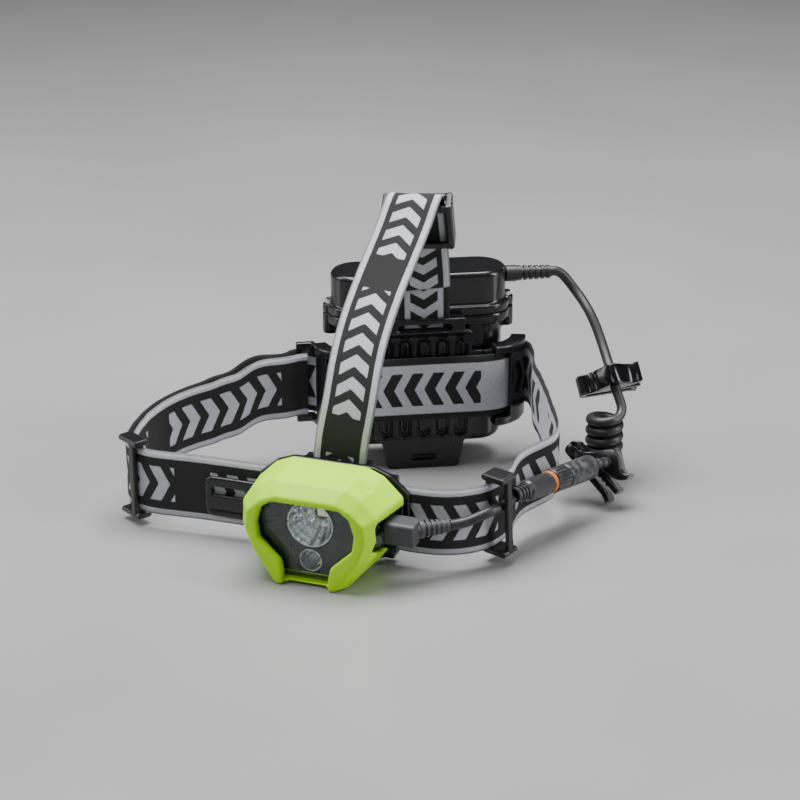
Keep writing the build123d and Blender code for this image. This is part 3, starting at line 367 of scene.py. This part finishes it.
def led_yellow(name):
    """Pale phosphor with a grainy surface, faintly glowing."""
    s = Shader(name)
    cells = s.add("TexVoronoi", {"Vector": s.position(), "Scale": 2500.0}).outputs["Distance"]
    tone = s.mix(s.ramp(cells, 0.0, 0.6), rgb(238, 236, 222), rgb(222, 214, 178))
    return s.finish(Base_Color=tone, Roughness=0.3, Emission_Color=rgb(255, 240, 200), Emission_Strength=0.35)


# ---- materials of the CAD nodes ----
YELLOW_GREEN = rgb(176, 238, 0)
BLACK = rgb(24, 24, 26)

FINISHES = {
    "hi_vis_shell": (moulded("hi_vis_shell", YELLOW_GREEN, 0.4, 0.006, edge=1.5, gloss=0.22),
                     ["lamp_shroud"]),
    "clear_lens": (clear_plastic("clear_lens"), ["lens_cover"]),
    "housing_black": (moulded("housing_black", BLACK, 0.42, 0.03, rgb(80, 80, 82)), ["lamp_housing"]),
    "trim_gloss": (trim_plastic("trim_gloss"), ["reflector_trim"]),
    "main_cup": (reflector_metal("main_cup", LAMP, 12.0, half_width("main_reflector")), ["main_reflector"]),
    "downcast_cup": (reflector_metal("downcast_cup", DOWN, 8.0, half_width("downcast_reflector")),
                     ["downcast_reflector"]),
    "phosphor": (led_yellow("phosphor"), ["main_led", "downcast_led"]),
    "board_green": (circuit_board("board_green"), ["led_board", "driver_board", "contact_board"]),
    "sink_aluminium": (metal("sink_aluminium", (0.72, 0.73, 0.75, 1.0), 0.38), ["heat_sink"]),
    "bright_steel": (metal("bright_steel", (0.62, 0.62, 0.64, 1.0), 0.22),
                     ["housing_screws", "tilt_pin", "lid_screw_left", "lid_screw_right",
                      "cell_springs", "cell_link_plates", "lid_contacts", "connector_pins"]),
    "black_steel": (metal("black_steel", (0.05, 0.05, 0.055, 1.0), 0.3), ["cradle_screws"]),
    "insert_brass": (metal("insert_brass", (0.72, 0.53, 0.24, 1.0), 0.3), ["lid_screw_inserts"]),
    "cell_wrap": (moulded("cell_wrap", rgb(30, 110, 70), 0.25, 0.01), ["battery_cells"]),
    "switch_black": (moulded("switch_black", BLACK, 0.45), ["tactile_switch"]),
    "button_rubber": (rubber("button_rubber", rgb(32, 32, 34), 0.55), ["mode_button"]),
    "seal_rubber": (rubber("seal_rubber", rgb(20, 20, 20), 0.6), ["housing_seal", "lid_gasket"]),
    "plug_rubber": (rubber("plug_rubber", rgb(62, 62, 66), 0.48), ["cable_plug_block", "lamp_strain_relief"]),
    "plate_gloss": (moulded("plate_gloss", BLACK, 0.26, 0.012, rgb(120, 120, 122)), ["front_plate"]),
    "slider_satin": (moulded("slider_satin", BLACK, 0.34, 0.02, rgb(110, 110, 112)),
                     ["left_slider", "right_slider", "top_slider"]),
    "cradle_gloss": (moulded("cradle_gloss", BLACK, 0.24, 0.012, rgb(120, 120, 122)), ["battery_cradle"]),
    "case_satin": (moulded("case_satin", rgb(24, 24, 26), 0.2, 0.008, rgb(110, 110, 112)), ["battery_case"]),
    "lid_satin": (moulded("lid_satin", rgb(28, 28, 30), 0.2, 0.008, rgb(130, 130, 132)), ["battery_lid"]),
    "cable_jacket": (rubber("cable_jacket", rgb(40, 40, 42), 0.42),
                     ["coiled_cable", "lid_strain_relief", "connector_strain_relief"]),
    "connector_satin": (moulded("connector_satin", rgb(50, 50, 53), 0.3, 0.015, rgb(150, 150, 152)),
                        ["connector_plug", "connector_socket"]),
    "collar_knurl": (moulded("collar_knurl", rgb(38, 38, 40), 0.34, 0.02, rgb(150, 150, 155), 0.25),
                     ["connector_collar"]),
    "seal_orange": (rubber("seal_orange", rgb(176, 96, 40), 0.45), ["connector_seal"]),
    "clip_gloss": (moulded("clip_gloss", rgb(20, 20, 22), 0.16, 0.006, rgb(150, 150, 152)),
                   ["upper_cable_clip", "lower_cable_clip"]),
}


def give_material(obj, material):
    """One material in every slot of an object."""
    if not obj.data.materials:
        obj.data.materials.append(material)
    for spot in obj.material_slots:
        spot.material = material


def dress_cad():
    """Puts each finish on its CAD nodes."""
    for material, nodes in FINISHES.values():
        for node in nodes:
            give_material(frame["nodes"][node], material)


def round_off(node, voxel, passes):
    """Moulded softness: the CAD shape is remeshed finely and its edges eased by modifiers."""
    obj = frame["nodes"][node]
    remesh = obj.modifiers.new("skin", "REMESH")
    remesh.mode = "VOXEL"
    remesh.voxel_size = voxel * MM
    remesh.use_smooth_shade = True
    ease = obj.modifiers.new("ease", "SMOOTH")
    ease.factor = 0.5
    ease.iterations = passes


# CAD node, voxel size in millimetres, smoothing passes
ROUNDED = [
    ("lamp_shroud", 0.34, 14), ("front_plate", 0.45, 3), ("battery_cradle", 0.45, 3),
    ("battery_case", 0.55, 3), ("battery_lid", 0.45, 4), ("left_slider", 0.35, 4), ("right_slider", 0.35, 4),
    ("top_slider", 0.35, 4), ("upper_cable_clip", 0.28, 4), ("lower_cable_clip", 0.28, 4),
    ("cable_plug_block", 0.3, 5), ("mode_button", 0.2, 3), ("lamp_housing", 0.45, 2),
]


# ---- meshes made here ----
def new_mesh(name, places, faces, material):
    """Smooth-shaded mesh object from points in metres."""
    mesh = bpy.data.meshes.new(name)
    mesh.from_pydata(places, [], faces)
    mesh.update()
    mesh.materials.append(material)
    for face in mesh.polygons:
        face.use_smooth = True
    obj = bpy.data.objects.new(name, mesh)
    bpy.context.scene.collection.objects.link(obj)
    return obj


# ---- straps ----
EDGE_ROUNDING = 0.62            # share of the thickness lost at the strap's edges
WAVE = 0.10                     # millimetres of slow waviness in the webbing
RIPPLE = 0.12                   # millimetres of finer waviness along its edges


def smooth_line(points, step):
    """Evenly spaced points on a natural cubic spline through the given points."""
    p = np.array(points, float)
    gaps = np.linalg.norm(np.diff(p, axis=0), axis=1)
    at = np.concatenate([[0.0], np.cumsum(gaps)])
    n = len(p)
    system = np.eye(n)
    target = np.zeros(p.shape)
    for i in range(1, n - 1):
        system[i, i - 1:i + 2] = gaps[i - 1], 2 * (gaps[i - 1] + gaps[i]), gaps[i]
        target[i] = 6 * ((p[i + 1] - p[i]) / gaps[i] - (p[i] - p[i - 1]) / gaps[i - 1])
    bend = np.linalg.solve(system, target)
    count = max(int(at[-1] / step), 4)
    line = []
    for t in np.linspace(0.0, at[-1], count + 1):
        i = min(int(np.searchsorted(at, t, side="right")) - 1, n - 2)
        a, b, h = at[i + 1] - t, t - at[i], gaps[i]
        line.append((bend[i] * a ** 3 + bend[i + 1] * b ** 3) / (6 * h)
                    + (p[i] / h - bend[i] * h / 6) * a + (p[i + 1] / h - bend[i + 1] * h / 6) * b)
    return np.array(line)


def strap_section():
    """Rounded flat section: (across from -1 to 1, thickness share, side) round the strap."""
    shares = [-1 + 2 * i / STRAP_CELLS for i in range(STRAP_CELLS + 1)]
    section = [(v, 0.5 * (1 - EDGE_ROUNDING * abs(v) ** 10), 1.0) for v in shares]
    return section + [(v, -h, -face) for v, h, face in reversed(section)]


def build_strap(name, line, across, normals, width, material):
    """Woven strap along a line; the pattern's obverse is on the side the normals point to."""
    section = strap_section()
    ring = len(section)
    places = []
    marks = []
    run = 0.0
    for i, (at, side, out) in enumerate(zip(line, across, normals)):
        if i:
            run += float(np.linalg.norm(at - line[i - 1]))
        for v, h, face in section:
            wave = WAVE * noise.noise(Vector((run / 16.0, v * 0.8, 3.0)))
            ripple = RIPPLE * abs(v) ** 6 * noise.noise(Vector((run / 5.0, v * 2.0, 8.0)))
            spot = at + side * (v * width / 2) + out * (h * WEBBING_THICK + wave + ripple)
            places.append(tuple(spot * MM))
            marks.extend((run, v, face))
    faces = []
    for i in range(len(line) - 1):
        for j in range(ring):
            k = (j + 1) % ring
            faces.append((i * ring + j, i * ring + k, (i + 1) * ring + k, (i + 1) * ring + j))
    last = (len(line) - 1) * ring
    for j in range(STRAP_CELLS):
        faces.append((j, ring - 1 - j, ring - 2 - j, j + 1))
        faces.append((last + j, last + j + 1, last + ring - 2 - j, last + ring - 1 - j))
    obj = new_mesh(name, places, faces, material)
    strap = obj.data.attributes.new("strap", "FLOAT_VECTOR", "POINT")
    strap.data.foreach_set("vector", np.array(marks, np.float32))
    return obj


def unit(rows):
    """Rows scaled to length one."""
    return rows / np.linalg.norm(rows, axis=1)[:, None]


def directions(line):
    """Unit direction of a line at each of its points."""
    return unit(np.gradient(line, axis=0))


def from_pack(x, y):
    """Plan point of the battery pack's own axes, in the frame's axes."""
    c, s = cos(radians(PACK_YAW)), sin(radians(PACK_YAW))
    return (x * c - y * s, x * s + y * c)


def wrap(start, end, side):
    """Plan points round one arm of the cradle."""
    angles = [radians(start + (end - start) * i / 4) for i in range(5)]
    return [(side * (ARM_CENTRE + BAND_ARM_R * cos(a)), BAND_ARM_R * sin(a)) for a in angles]


# plan lines of the upright straps, the same as the CAD straps'
BAND_FRONT = [
    (-75.2, -96.0), (-70.2, -97.4), (-62.0, -97.4), (-50.0, -96.4), (-40.0, -96.0), (-20.0, -95.8),
    (24.0, -95.8), (34.0, -96.0), (43.6, -94.6), (51.6, -90.2), (56.2, -85.6), (58.2, -82.0),
    (59.9, -77.2), (60.7, -71.0), (60.6, -65.0), (61.9, -58.2), (64.9, -52.6), (68.1, -47.2), (68.8, -41.4),
    (65.6, -32.4), (60.6, -23.6), (53.4, -11.4), (48.0, -2.2),
]
BAND_AT_PACK = (
    [(43.2, -14.0), (43.5, -8.0), (43.2, -3.8), (41.2, -1.5), (39.1, -2.6)] + wrap(-22, -82, 1)
    + [(16.0, -15.6), (0.0, -15.5), (-16.0, -15.6)] + wrap(-82, -14, -1)
    + [(-44.6, 1.0), (-49.6, 0.6), (-52.6, -2.4)]
)
BAND_OUTER = [
    (-53.4, -30.9), (-61.6, -37.4), (-71.4, -44.6), (-79.6, -53.6), (-84.0, -64.0), (-85.0, -75.0),
    (-84.0, -84.6), (-81.6, -90.6), (-78.4, -94.1),
]
TAIL = [
    (-80.4, -88.6), (-81.9, -82.0), (-82.6, -75.0), (-81.8, -65.0), (-78.0, -55.4), (-70.2, -46.8),
    (-60.4, -39.9), (-51.6, -33.4),
]
TAIL_AT_ARM = [(-50.8, -6.0), (-46.6, -4.4), (-43.8, -4.1)]


def upright_strap(name, plan, node, material):
    """Strap that stands on edge along a plan line, in place of a CAD node."""
    flat = smooth_line(plan, STRAP_STEP)
    line = np.array([(x, y, band_z(x, y)) for x, y in flat])
    along = directions(np.column_stack([flat, np.zeros(len(flat))]))
    outward = np.column_stack([along[:, 1], -along[:, 0], np.zeros(len(flat))])
    across = np.tile([0.0, 0.0, 1.0], (len(flat), 1))
    strap = build_strap(name, line, across, outward, BAND_WIDTH, material)
    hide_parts(node)
    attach(strap, "head_harness")


# stations of the strap over the head: centre point and turn of the width about +Z, as in the CAD
TOP_STATIONS = [
    ((4.6, -95.6, 35.0), 0), ((5.2, -95.4, 42.0), 0), ((7.0, -92.4, 57.0), 0), ((7.2, -84.6, 72.0), 0),
    ((7.6, -73.4, 84.7), 0), ((8.4, -61.4, 94.8), 2), ((9.4, -50.2, 103.6), 4), ((9.9, -41.2, 110.6), 6),
    ((10.0, -34.6, 115.4), 8), ((9.8, -30.4, 116.0), 10), ((9.5, -28.0, 112.7), 12),
    ((9.1, -25.0, 105.2), 15), ((8.7, -22.0, 97.6), 18), ((8.1, -18.4, 88.0), 22),
    ((7.2, -14.6, 76.0), 27), ((6.7, -12.7, 67.0), 28), ((6.7, -12.6, 58.3), 28),
]
TAIL_STATIONS = slice(10, 15)
TAIL_OFFSET = 2.0


def slanted_strap(name, stations, offset, obverse, node, material):
    """Strap over the head through the stations, moved off their line by the offset."""
    line = smooth_line([point for point, _ in stations], STRAP_STEP)
    share = np.linspace(0, len(stations) - 1, len(line))
    turn = np.radians(np.interp(share, range(len(stations)), [t for _, t in stations]))
    across = np.column_stack([np.cos(turn), np.sin(turn), np.zeros(len(line))])
    along = directions(line)
    normal = unit(np.cross(along, across))
    across = unit(np.cross(normal, along))
    line = line + normal * offset
    strap = build_strap(name, line, across, normal * obverse, TOP_WIDTH, material)
    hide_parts(node)
    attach(strap, "head_harness")


def make_straps():
    """Webbing in place of the four CAD straps."""
    wide = woven("webbing_wide", BAND_WIDTH / 2)
    narrow = woven("webbing_narrow", TOP_WIDTH / 2, 12.0)
    band = BAND_FRONT + [from_pack(x, y) for x, y in BAND_AT_PACK] + BAND_OUTER
    upright_strap("band_webbing", band, "headband", wide)
    tail = TAIL + [from_pack(x, y) for x, y in TAIL_AT_ARM]
    upright_strap("band_tail_webbing", tail, "headband_tail", wide)
    slanted_strap("top_webbing", TOP_STATIONS, 0.0, -1, "top_strap", narrow)
    slanted_strap("top_tail_webbing", TOP_STATIONS[TAIL_STATIONS], TAIL_OFFSET, 1, "top_strap_tail", narrow)


# ---- copies of the CAD cables ----
def bending_copy(name, node, material):
    """The CAD cable's own skin as a mesh of its own, in place of the hidden node."""
    mesh = frame["nodes"][node].data.copy()
    mesh.name = name
    mesh.materials.clear()
    mesh.materials.append(material)
    obj = bpy.data.objects.new(name, mesh)
    bpy.context.scene.collection.objects.link(obj)
    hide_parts(node)
    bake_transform(obj)


def make_cables():
    """Copies of the battery and lamp cables in place of their CAD nodes."""
    jacket = FINISHES["cable_jacket"][0]
    bending_copy("battery_cable_skin", "battery_cable", jacket)
    bending_copy("lamp_cable_skin", "lamp_cable", jacket)


# ---- ribs on the back of the battery case ----
RIB_COUNT = 9
RIB_PITCH = 4.6
RIB_HALF_WIDTH = 1.1
RIB_HEIGHT = 0.7
RIB_SUNK = 0.3                  # how far the rib's base lies inside the case
RIB_LOW, RIB_HIGH = 17.0, 47.0
CASE_BACK = 10.5                # the case's back face, out from the pack's middle
RIB_TIP = 0.02                  # the rounded end's smallest share of the full section
RIB_ROWS = 40
RIB_COLUMNS = 8


def make_case_ribs(material):
    """Rounded upright grip ribs with tapered ends, standing out of the back of the case."""
    places, faces = [], []
    middle, reach = (RIB_LOW + RIB_HIGH) / 2, (RIB_HIGH - RIB_LOW) / 2
    for rib in range(RIB_COUNT):
        first = len(places)
        centre = (rib - (RIB_COUNT - 1) / 2) * RIB_PITCH
        for row in range(RIB_ROWS + 1):
            z = middle - reach * cos(pi * row / RIB_ROWS)
            to_end = min(min(z - RIB_LOW, RIB_HIGH - z) / RIB_HALF_WIDTH, 1.0)
            taper = max(max(to_end * (2 - to_end), 0.0) ** 0.5, RIB_TIP)
            for column in range(RIB_COLUMNS + 1):
                turn = pi * column / RIB_COLUMNS
                x = centre - RIB_HALF_WIDTH * taper * cos(turn)
                y = CASE_BACK - RIB_SUNK + (RIB_HEIGHT + RIB_SUNK) * taper * sin(turn)
                places.append(tuple(c * MM for c in (*from_pack(x, y), z)))
        width = RIB_COLUMNS + 1
        for row in range(RIB_ROWS):
            at = first + row * width
            for column in range(RIB_COLUMNS):
                faces.append((at + column, at + width + column, at + width + column + 1, at + column + 1))
            faces.append((at + RIB_COLUMNS, at + width + RIB_COLUMNS, at + width, at))
        faces.append(tuple(range(first, first + width)))
        last = first + RIB_ROWS * width
        faces.append(tuple(reversed(range(last, last + width))))
    obj = new_mesh("case_ribs", places, faces, material)
    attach(obj, "head_harness")


# ---- clip jaws ----
def clip_axes(node):
    """Swivel point of a cable clip, its long direction towards the mouth, its outward side and its axis."""
    joint = next(j for j in frame["record"]["behaviour"]["joints"] if j["child"] == node)
    axis = np.array(joint["axis"], float)
    axis /= np.linalg.norm(axis)
    centre = np.array(joint["pos_m"], float) / MM
    rest = vertices_of(node) - centre
    flat = rest - np.outer(rest @ axis, axis)
    along = np.linalg.svd(flat - flat.mean(axis=0), full_matrices=False)[2][0]
    reach = flat @ along
    if reach.max() > -reach.min():
        along = -along
    outward = np.cross(axis, along)
    if (flat @ outward).max() > -(flat @ outward).min():
        outward = -outward
    return centre, along, outward, axis, flat


CLIP_HALF_WIDTH = 3.9
CLIP_FLOOR = -3.6               # the jaw's underside, measured outward from the cable's centre
CLIP_STEPS = 60
JAW_THICK = 1.6
JAW_SKIN = 0.6                  # plastic over the top of the cable ring
HUMP_SPREAD = 1.35              # of the hump along the clip, in ring radii
MOUTH_FLARE = 3.0
FLARE_FROM = 5.0                # the lip starts to lift here, along the clip
UNDERSIDE_SHARE = 0.8           # of the lip's lift that its underside follows
JAW_INSET = 0.5                 # from the tail of the CAD clip
GROOVES = (4.6, 6.4)            # distance of the grip's grooves from the tail
GROOVE_DEPTH = 0.55
GROOVE_HALF = 0.4
JAW_EDGE = 0.7


def make_clip_jaw(name, node, material):
    """Glossy front jaw of a cable clip: a hump over the cable, a grooved grip and a flared lip."""
    centre, along, outward, axis, flat = clip_axes(node)
    tail, mouth = (flat @ along).min() + JAW_INSET, (flat @ along).max()
    ring = (flat @ outward).max()
    rise = ring + JAW_SKIN - CLIP_FLOOR - JAW_THICK
    upper, lower = [], []
    for x in np.linspace(tail, mouth, CLIP_STEPS):
        lift = MOUTH_FLARE * max(0.0, (x - FLARE_FROM) / (mouth - FLARE_FROM)) ** 2
        top = CLIP_FLOOR + JAW_THICK + rise * np.exp(-(x / (HUMP_SPREAD * ring)) ** 2) + lift
        for groove in GROOVES:
            top -= GROOVE_DEPTH * np.exp(-((x - tail - groove) / GROOVE_HALF) ** 2)
        upper.append((x, top))
        lower.append((x, CLIP_FLOOR + lift * UNDERSIDE_SHARE))
    outline = upper + lower[::-1]
    count = len(outline)
    places = [tuple((centre + along * x + outward * y + axis * z) * MM)
              for z in (-CLIP_HALF_WIDTH, CLIP_HALF_WIDTH) for x, y in outline]
    faces = [(i, (i + 1) % count, count + (i + 1) % count, count + i) for i in range(count)]
    last = CLIP_STEPS * 2 - 1
    for i in range(CLIP_STEPS - 1):
        faces.append((i, last - i, last - i - 1, i + 1))
        faces.append((count + i, count + i + 1, count + last - i - 1, count + last - i))
    obj = new_mesh(name, places, faces, material)
    soften = obj.modifiers.new("edges", "BEVEL")
    soften.width = JAW_EDGE * MM
    soften.segments = 3
    soften.limit_method = "ANGLE"
    soften.angle_limit = radians(50)
    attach(obj, node)


# ---- floor, light and camera ----
CAMERA_AT = (276.4, -780.0, 355.7)
CAMERA_AIM = (-25.94, 50.58, 0.0)
CAMERA_LENS = 102.0


# floor and its rear wall, in metres
FLOOR_HALF_WIDTH = 4.0
FLOOR_FRONT = -3.0
FLOOR_BACK = 2.2
FLOOR_BEND = 0.8
WALL_TOP = 4.0


def make_floor():
    """Plain floor at the height of the object's foot, rising into a wall behind it."""
    s = Shader("pale_floor")
    tone = s.mix(s.ramp(s.noise(6.0, 2.0), 0.3, 0.7), rgb(142, 142, 142), rgb(149, 149, 149))
    grain = s.bump(s.noise(900.0), 0.002)
    paint = s.finish(Base_Color=tone, Roughness=0.24, Specular_IOR_Level=0.8, Normal=grain)
    low = cad_bounds[0].z
    bend = [radians(9 * i) for i in range(1, 11)]
    curve = [(FLOOR_BACK + FLOOR_BEND * sin(a), low + FLOOR_BEND * (1 - cos(a))) for a in bend]
    rows = [(FLOOR_FRONT, low), (FLOOR_BACK, low)] + curve + [(FLOOR_BACK + FLOOR_BEND, WALL_TOP)]
    places = [(x, y, z) for y, z in rows for x in (-FLOOR_HALF_WIDTH, FLOOR_HALF_WIDTH)]
    faces = [(2 * i, 2 * i + 1, 2 * i + 3, 2 * i + 2) for i in range(len(rows) - 1)]
    new_mesh("floor", places, faces, paint)


def soft_light(name, at, aim, size, power):
    """Rectangular area light that faces a point."""
    data = bpy.data.lights.new(name, "AREA")
    data.shape = "RECTANGLE"
    data.size, data.size_y = size
    data.energy = power
    lamp = bpy.data.objects.new(name, data)
    lamp.location = at
    lamp.rotation_euler = (Vector(aim) - Vector(at)).to_track_quat("-Z", "Y").to_euler()
    bpy.context.scene.collection.objects.link(lamp)


WORLD_LIGHT = 0.08              # brightness of the surroundings as a light
WORLD_SEEN = 0.5                # brightness of the backdrop beyond the floor's edge


def make_lights():
    """Soft boxes round the object, in metres and watts, and a dim even world."""
    aim = (0.0, -0.04, 0.04)
    soft_light("top_softbox", (-0.10, 0.05, 0.95), aim, (0.9, 0.55), 26.0)
    soft_light("right_softbox", (1.0, 0.1, 0.5), aim, (0.25, 0.9), 9.0)
    soft_light("left_softbox", (-0.9, -0.3, 0.6), aim, (0.3, 0.9), 6.0)
    soft_light("front_fill", (-0.1, -1.2, 0.8), aim, (0.9, 0.25), 2.5)
    world = bpy.data.worlds.new("studio")
    bpy.context.scene.world = world
    world.use_nodes = True
    nodes, links = world.node_tree.nodes, world.node_tree.links
    backdrop = nodes["Background"]
    backdrop.inputs["Color"].default_value = (0.8, 0.82, 0.85, 1.0)
    seen = nodes.new("ShaderNodeLightPath").outputs["Is Camera Ray"]
    strength = nodes.new("ShaderNodeMapRange")
    strength.inputs["To Min"].default_value = WORLD_LIGHT
    strength.inputs["To Max"].default_value = WORLD_SEEN
    links.new(seen, strength.inputs["Value"])
    links.new(strength.outputs["Result"], backdrop.inputs["Strength"])


def make_camera():
    """Camera a little to the right of the lamp and above it."""
    data = bpy.data.cameras.new("camera")
    data.lens = CAMERA_LENS
    data.sensor_width = 36.0
    camera = bpy.data.objects.new("camera", data)
    camera.location = Vector(CAMERA_AT) * MM
    aim = (Vector(CAMERA_AIM) - Vector(CAMERA_AT)).normalized()
    camera.rotation_euler = aim.to_track_quat("-Z", "Y").to_euler()
    data.clip_start = 0.01
    bpy.context.scene.collection.objects.link(camera)
    bpy.context.scene.camera = camera


dress_cad()
for part, size, easing in ROUNDED:
    round_off(part, size, easing)
make_straps()
make_cables()
make_case_ribs(FINISHES["case_satin"][0])
make_clip_jaw("upper_clip_jaw", "upper_cable_clip", FINISHES["clip_gloss"][0])
make_clip_jaw("lower_clip_jaw", "lower_cable_clip", FINISHES["clip_gloss"][0])
make_floor()
make_lights()
make_camera()
